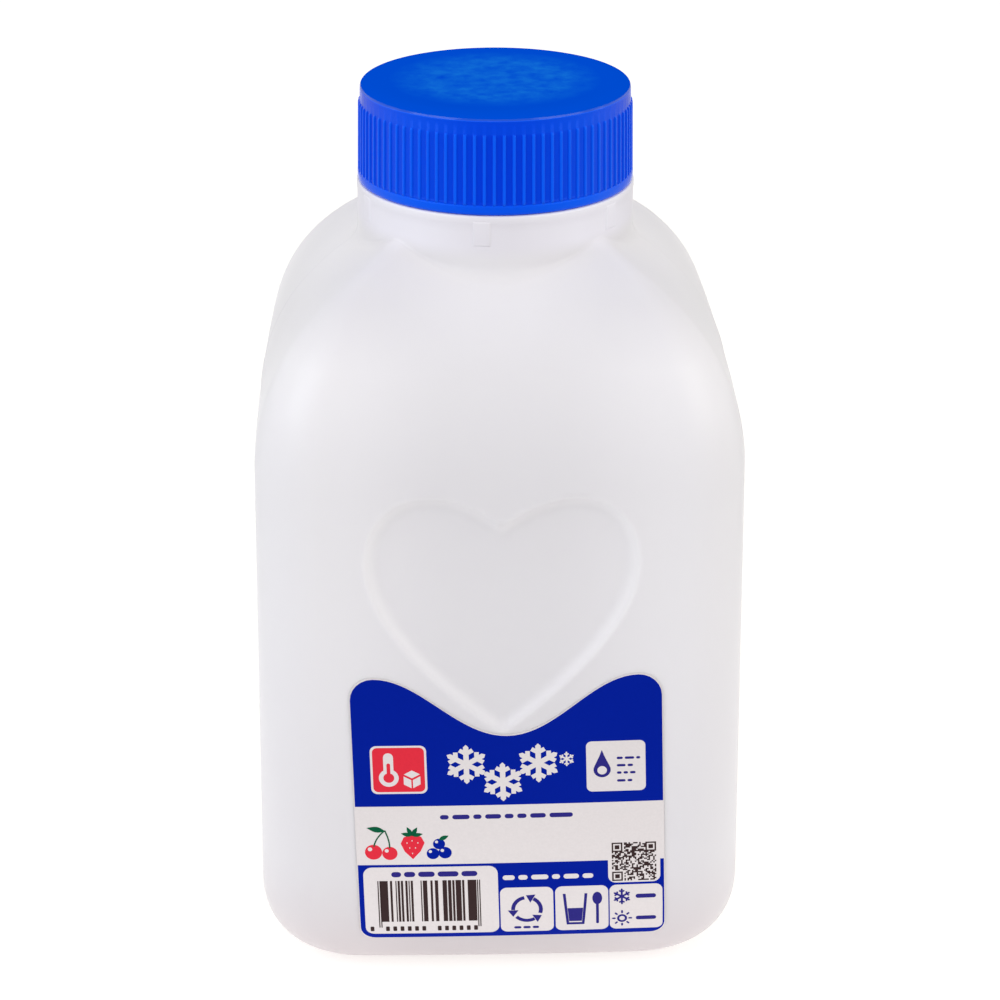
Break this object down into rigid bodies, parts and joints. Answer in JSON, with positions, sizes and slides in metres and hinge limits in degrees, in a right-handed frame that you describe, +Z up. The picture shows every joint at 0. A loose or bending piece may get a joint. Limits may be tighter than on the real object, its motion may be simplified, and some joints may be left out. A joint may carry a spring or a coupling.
{
  "type": "freezer bottle",
  "caption": "Square milky plastic bottle with a wide ribbed screw cap, a heart pressed into its front and a printed front label.",
  "frame": {"origin": "middle of the base, on the surface that the bottle stands on", "axes": "+Z up through the neck and cap; -Y is the front, with the heart and the label; +X is the right side seen from the front"},
  "size_m": [0.0782, 0.0784, 0.1398],
  "materials": {
    "bottle": "milky translucent polyethylene, satin",
    "cap": "moulded blue plastic, semi-gloss",
    "label": "printed film"
  },
  "bodies": {
    "root": {"bottle": "bottle", "cap": "cap", "label": "label"}
  },
  "joints": []
}
